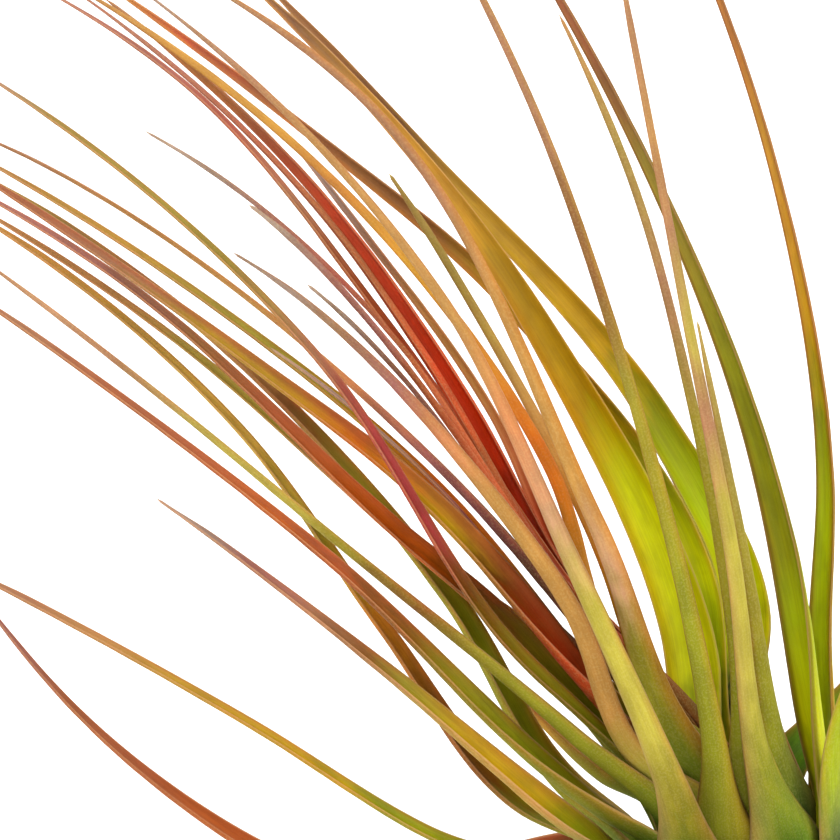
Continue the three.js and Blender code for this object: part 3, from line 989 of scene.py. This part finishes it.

# Each leaf has its name, layer and place in the layer, twist, widths, slot, route and finish.
# The dark first shades are partly each leaf's own dark base and partly painted shade in the gaps between
# the leaf bases. They are deep green on the front right inner, front olive and back yellow leaves, and
# night green on the back brown and back red leaves.
LEAVES = (
    Leaf("leaf_front_right", 8, 0, 0, (6.1, 3.2, 0.7), Slot.PALE,
         ((-6, -20, 51.5), (-11.5, -27, 88.5), (-21.5, -35, 137), (-35.5, -44, 204.5)),
         LeafFinish("leaf_green olive_green khaki khaki khaki brown_pink "
                    "khaki brown_pink tan brown_pink tan", flank=Tone.PINK_TAN, lean=-0.2)),
    Leaf("leaf_front_right_inner", 7, 1, 0, (8.2, 4.4, 0.8), Slot.PALE,
         ((-1, -12, 47.5), (-8.5, -19, 85.5), (-19, -24, 132.5)),
         LeafFinish("deep_green olive_green olive olive olive khaki", flank=Tone.PALE_KHAKI, lean=0.4)),
    Leaf("leaf_front_thread", 6, 1, 0, (3.4, 2.2, 0.7), Slot.PALE,
         ((-10.5, -14.5, 71), (-19, -16.5, 115.5), (-32, -22.5, 161), (-43.5, -20, 186)),
         LeafFinish("olive_green olive_green olive olive brown_pink olive tan", rim=Tone.BROWN)),
    Leaf("leaf_front_crossing", 7, 0, 0, (5.9, 2.8, 0.7), Slot.RUST,
         ((-14.5, -21, 53), (-31, -32, 122.5), (-49.5, -43.5, 176.5), (-64, -53, 207)),
         LeafFinish("olive_green olive_green olive_green olive_green olive olive "
                    "brown brown brown_pink brown_pink tan", flank=Tone.OLIVE_GOLD, lean=0.4, line=0.4)),
    Leaf("leaf_front_left", 8, 5, -5, (9.6, 4.3, 0.7), Slot.PALE,
         ((-23.5, -27.5, 47.5), (-41.5, -25, 89.5), (-64, -33, 138.5), (-115, -32.5, 192.5)),
         LeafFinish("leaf_green olive khaki khaki pink_tan salmon tan tan tan brown_pink grey",
                    flank=Tone.PINK_TAN, lean=-0.35)),
    Leaf("leaf_front_tan", 4, 2, -19, (10.8, 3.8, 0.9), Slot.PALE,
         ((-19, -12.5, 48.5), (-36.5, -28, 96), (-79, -24.5, 173.5), (-107, -21, 193)),
         LeafFinish("leaf_green olive_green olive pink_tan tan tan "
                    "tan brown_pink brown_pink brown_pink taupe", flank=Tone.AMBER, lean=0.6)),
    Leaf("leaf_front_olive", 3, 2, 12, (6.9, 3, 0.9), Slot.OLIVE,
         ((-24.5, -13, 58), (-34, -11, 84.5), (-60.5, 3, 133), (-73, -8.5, 155.5)),
         LeafFinish("deep_green olive amber tan olive olive", scurf=0.3)),
    Leaf("leaf_front_orange", 2, 3, 5, (4.8, 2.7, 0.9), Slot.GOLD,
         ((-29.5, -11, 61.5), (-44.5, -20, 105.5), (-90, 3, 158.5), (-129.5, 12, 185.5)),
         LeafFinish("olive_green olive tan amber orange amber gold amber gold gold tan", scurf=0.3)),
    Leaf("leaf_right_tall", 9, 1, 32, (9, 4.2, 0.9), Slot.GOLD,
         ((8.5, 15, 65.5), (8.5, 16, 92.5), (-1.5, 16.5, 147.5), (-25, 6.5, 209)),
         LeafFinish("leaf_green bright_green bright_green bright_green olive_green olive_gold "
                    "gold gold amber amber amber", flank=Tone.AMBER, lean=-0.5, line=0.4)),
    Leaf("leaf_right_green", 8, 1, 44, (14, 7.2, 1.4), Slot.OLIVE,
         ((6, 1, 55), (-4, 5.5, 100), (-28, 11.5, 157.5), (-52, 14, 199)),
         LeafFinish("bright_green lime bright_green olive_green olive_green olive_green "
                    "olive olive brown rust rust", rim=Tone.OLIVE_GOLD, line=0.5)),
    Leaf("leaf_back_brown", 6, 4, 5, (16.5, 8.6, 1.8), Slot.RUST,
         ((-6.5, 25.5, 63.5), (-23, 27.5, 100), (-67.5, 42, 149.5), (-98, 52.5, 181)),
         LeafFinish("night_green night_green lime bright_green olive_green olive_gold "
                    "olive_gold olive_gold dark_brown brown brown", rim=Tone.OLIVE_GOLD)),
    Leaf("leaf_back_red", 4, 5, -5, (7.6, 5.4, 0.9), Slot.RUST,
         ((-14, 21.5, 69.5), (-49.5, 19.5, 124), (-88.5, 33, 155), (-128, 34.5, 184)),
         LeafFinish("night_green bright_green lime olive_green olive_gold olive_gold "
                    "brown brown rust vermilion gold", rim=Tone.AMBER, flank=Tone.AMBER, lean=0.3)),
    Leaf("leaf_back_yellow", 3, 0, -10, (14.4, 9.4, 1.2), Slot.OLIVE,
         ((-18.5, 15.5, 63), (-44, 14.5, 118.5), (-58, 8.5, 142), (-103, 22.5, 188.5)),
         LeafFinish("deep_green lime lime lime olive_gold olive_gold olive_gold gold gold dark_brown brown",
                    rim=Tone.OLIVE_GOLD, flank=Tone.AMBER, lean=0.4)),
    Leaf("leaf_core_salmon", 0, 2, -21, (4.1, 2.7, 1), Slot.CORAL,
         ((-43.5, 1, 80), (-74, 1, 126), (-110, 1, 170), (-133, -3, 187)),
         LeafFinish("dark_olive brown dark_red rust coral coral rust brown_pink crimson mauve mauve")),
    Leaf("leaf_core_rust", 0, 0, 18, (6.4, 4.4, 1.1), Slot.RUST,
         ((-43, -4, 81.5), (-66, -0.5, 120), (-85, 3.5, 146), (-131, 10.5, 186)),
         LeafFinish("dark_olive brown dark_red dark_red rust vermilion rust rust crimson mauve mauve")),
    Leaf("leaf_core_red", 0, 1, -36, (4.6, 4.8, 1), Slot.RUST,
         ((-42, 5.5, 79), (-59, 2.5, 111.5), (-88.5, 7, 152), (-125, 20.5, 182)),
         LeafFinish("olive brown dark_red dark_red vermilion vermilion "
                    "vermilion vermilion rust amber taupe")),
    Leaf("leaf_core_coral", 2, 0, 9, (2.8, 1.9, 0.7), Slot.CORAL,
         ((-40.5, 7, 77.5), (-53.5, 8, 106), (-79.5, 16, 141.5), (-92, 25.5, 155.5)),
         LeafFinish("dark_olive brown rust coral coral salmon tan tan taupe grey thread_grey")),
    Leaf("leaf_young_mauve", 0, 3, -29, (1.4, 0.7, 0.7), Slot.MAUVE,
         ((-45.5, -10, 85.5), (-71.5, -2, 123), (-115, -27.5, 167)),
         LeafFinish("brown brown rust rust coral coral rust crimson mauve grey thread_grey")),
    Leaf("leaf_young_coral", 1, 2, 40, (1.8, 1, 0.9), Slot.CORAL,
         ((-43.5, -12, 82), (-67, -12, 117), (-96, -55.5, 160)),
         LeafFinish("brown rust coral coral coral coral rust mauve mauve grey thread_grey")),
    Leaf("leaf_young_maroon", 2, 2, 24, (1.8, 0.7, 0.7), Slot.MAUVE,
         ((-43, -13.5, 80.5), (-70.5, -14.5, 119.5), (-87, -32.5, 141)),
         LeafFinish("brown brown taupe coral coral brown_pink mauve maroon maroon grey thread_grey")),
    Leaf("leaf_young_grey", 2, 1, 20, (1.7, 0.7, 0.7), Slot.PALE,
         ((-47, 0.5, 74), (-64.5, -5, 97), (-94.5, -5.5, 123)),
         LeafFinish("brown brown_pink taupe taupe coral coral mauve taupe grey grey thread_grey")),
    Leaf("leaf_left_taupe", 5, 1, -21, (5.4, 5, 0.8), Slot.PALE,
         ((-28.5, -13.5, 47.5), (-41.5, -21, 79), (-62.5, -17, 107.5), (-99, -49.5, 150.5)),
         LeafFinish("olive_green khaki tan tan tan tan salmon mauve taupe grey grey")),
    Leaf("leaf_left_crimson", 5, 0, -38, (5.8, 3.2, 0.7), Slot.RUST,
         ((-54.5, -10.5, 72), (-86, -18.5, 124.5), (-147, -22, 178.5)),
         LeafFinish("olive_green olive_green olive brown crimson crimson "
                    "brown_pink olive olive olive grey")),
    Leaf("leaf_left_tan", 3, 1, 5, (6.5, 4.6, 0.7), Slot.GOLD,
         ((-49, -6, 83), (-111.5, 18, 135.5), (-150, -17.5, 166.5)),
         LeafFinish("olive_green brown dark_brown maroon mauve salmon tan tan tan brown_pink taupe")),
    Leaf("leaf_left_gold", 4, 0, 0, (6.6, 4, 0.7), Slot.GOLD,
         ((-37.5, 4.5, 58), (-62, 7.5, 89.5), (-105, -0.5, 129.5), (-152, 5.5, 158.5)),
         LeafFinish("olive_green olive olive amber orange olive_gold "
                    "olive olive olive_gold olive_gold brown_pink")),
    Leaf("leaf_left_broad", 4, 1, -57, (12.7, 7.2, 1.3), Slot.GOLD,
         ((-35, -5, 55), (-68, -8, 96), (-96, -3, 117.5), (-152.5, -5.5, 159)),
         LeafFinish("leaf_green brown vermilion brown olive_gold orange "
                    "olive_gold olive_gold brown_pink rust rust", flank=Tone.RUST, lean=-0.6)),
    Leaf("leaf_left_olive", 8, 4, -22, (14.1, 7, 1.6), Slot.OLIVE,
         ((-41, 3.5, 35), (-62.5, 1, 73), (-93.5, 8, 109.5), (-151, 12, 153)),
         LeafFinish("leaf_green olive_green olive_green olive_green olive olive "
                    "brown tan brown olive khaki")),
    Leaf("leaf_left_rust", 6, 5, -17, (11, 5.6, 0.8), Slot.RUST,
         ((-56.5, -0.5, 73), (-69.5, -5.5, 86), (-124, -13, 139.5), (-152, -10, 156)),
         LeafFinish("leaf_green olive_green olive brown burnt_orange burnt_orange "
                    "rust brown maroon mauve mauve")),
    Leaf("leaf_left_pale", 5, 5, 0, (5.1, 3, 0.7), Slot.PALE,
         ((-73.5, 8.5, 85.5), (-112.5, 12.5, 120), (-152, 18, 145.5)),
         LeafFinish("olive_green olive olive tan tan pink_tan khaki khaki tan tan tan", scurf=0.8)),
    Leaf("leaf_left_straw", 9, 4, -8, (12.5, 4.6, 1.4), Slot.GOLD,
         ((-50, 7.5, 31.5), (-74.5, 8.5, 65), (-101, 9.5, 103.5), (-153.5, 14, 146)),
         LeafFinish("leaf_green olive_green brown brown amber olive straw straw olive_gold gold gold")),
    Leaf("leaf_left_pink", 6, 0, 2, (7.1, 3.3, 0.8), Slot.CORAL,
         ((-40, -15, 52), (-83.5, -20, 91.5), (-112.5, -27.5, 119), (-147, -29.5, 147.5)),
         LeafFinish("leaf_green olive_green olive_green olive brown olive "
                    "khaki khaki brown_pink pink_tan taupe")),
    Leaf("leaf_left_orange", 7, 5, -38, (13.5, 5.6, 1.1), Slot.RUST,
         ((-35, -8.5, 35), (-85, -27.5, 90.5), (-124.5, -36.5, 125.5), (-149.5, -42, 145.5)),
         LeafFinish("leaf_green olive_green olive_green olive brown rust "
                    "burnt_orange rust rust brown_pink rust")),
    Leaf("leaf_low_front", 9, 5, -32, (12.8, 7.4, 0.9), Slot.PALE,
         ((-44, -22, 39.5), (-74, -25.5, 68), (-112.5, -51.5, 108)),
         LeafFinish("leaf_green olive_green olive_green olive_gold olive_gold olive "
                    "brown brown_pink mauve grey thread_grey", flank=Tone.PINK_TAN, lean=0.3)),
    Leaf("leaf_low_gold", 10, 4, -23, (5.2, 3.7, 1.4), Slot.GOLD,
         ((-66.5, -26, 37.5), (-98, -32, 60.5), (-150.5, -46, 96)),
         LeafFinish("leaf_green olive_green olive_green olive_green olive_green olive_gold "
                    "olive_gold olive_gold tan brown_pink tan")),
    Leaf("leaf_low_rust", 10, 3, 0, (14.2, 9.9, 0.9), Slot.RUST,
         ((-88, 44, 1.1), (-123.5, 44, 25.5), (-156, 44, 66)),
         LeafFinish("olive_green brown rust rust rust rust burnt_orange rust rust mauve mauve")),
    Leaf("leaf_right_edge", 9, 0, 0, (10.5, 5.2, 0.7), Slot.OLIVE,
         ((9.5, -12, 52), (24, -20, 92), (50, -28, 126)),
         LeafFinish("blue_green bright_green bright_green olive_green olive gold tan")),
    Leaf("leaf_outer_right", 10, 0, 0, (7.7, 4.8, 0.7), Slot.OLIVE,
         ((34, 8, 38), (60, 12, 52), (92, 16, 50)), FRESH),
    Leaf("leaf_outer_front_right", 10, 7, 0, (7.7, 4.8, 0.7), Slot.GOLD,
         ((34, -18, 28), (58, -30, 34), (86, -42, 26)), WEATHERED),
    Leaf("leaf_outer_front", 10, 6, 0, (7.7, 4.8, 0.7), Slot.GOLD,
         ((8, -38, 24), (16, -62, 26), (24, -88, 14)), WEATHERED),
    Leaf("leaf_front_spread", 9, 7, 0, (7.7, 4.8, 0.7), Slot.OLIVE,
         ((6, -36, 36), (14, -62, 46), (24, -92, 42)), FRESH),
    Leaf("leaf_front_left_spread", 9, 6, 0, (7.7, 4.8, 0.7), Slot.GOLD,
         ((-18, -40, 34), (-36, -68, 40), (-58, -96, 32)), WEATHERED),
    Leaf("leaf_outer_front_left", 10, 5, 0, (7.7, 4.8, 0.7), Slot.RUST,
         ((-36, -38, 18), (-60, -60, 10), (-84, -80, 0.4)), WEATHERED),
    Leaf("leaf_outer_back", 10, 2, 0, (7.7, 4.8, 0.7), Slot.OLIVE,
         ((-6, 44, 20), (-13, 72, 14), (-18, 96, 0.4)), FRESH),
    Leaf("leaf_outer_back_right", 10, 1, 0, (7.7, 4.8, 0.7), Slot.GOLD,
         ((22, 34, 26), (36, 56, 32), (52, 80, 22)), WEATHERED),
    Leaf("leaf_back_right", 9, 2, 0, (7.7, 4.8, 0.7), Slot.OLIVE,
         ((20, 30, 52), (38, 48, 88), (66, 64, 108)), FRESH),
    Leaf("leaf_back_spread", 9, 3, 0, (7.3, 4.6, 0.9), Slot.OLIVE,
         ((-8, 40, 36), (-10, 64, 43), (-16, 95, 34)), FRESH),
    Leaf("leaf_back_tall", 8, 2, 0, (7.7, 4.8, 0.7), Slot.GOLD,
         ((-6, 36, 60), (-25, 44, 98), (-49, 54, 128)), WEATHERED),
    Leaf("leaf_back_left", 8, 3, 60, (11.4, 8.5, 1.2), Slot.OLIVE,
         ((-33, 19.5, 31.5), (-45, 24, 42), (-56, 25, 55.5)), FRESH),
)


def main() -> None:
    """Build the studio, the stem and the leaves."""
    logging.basicConfig(level=logging.INFO, format="%(name)s: %(message)s")
    Studio().build()
    foliage = Foliage(LEAVES)
    Stem().build(foliage.rosette)
    foliage.build()


if __name__ == "__main__":
    main()
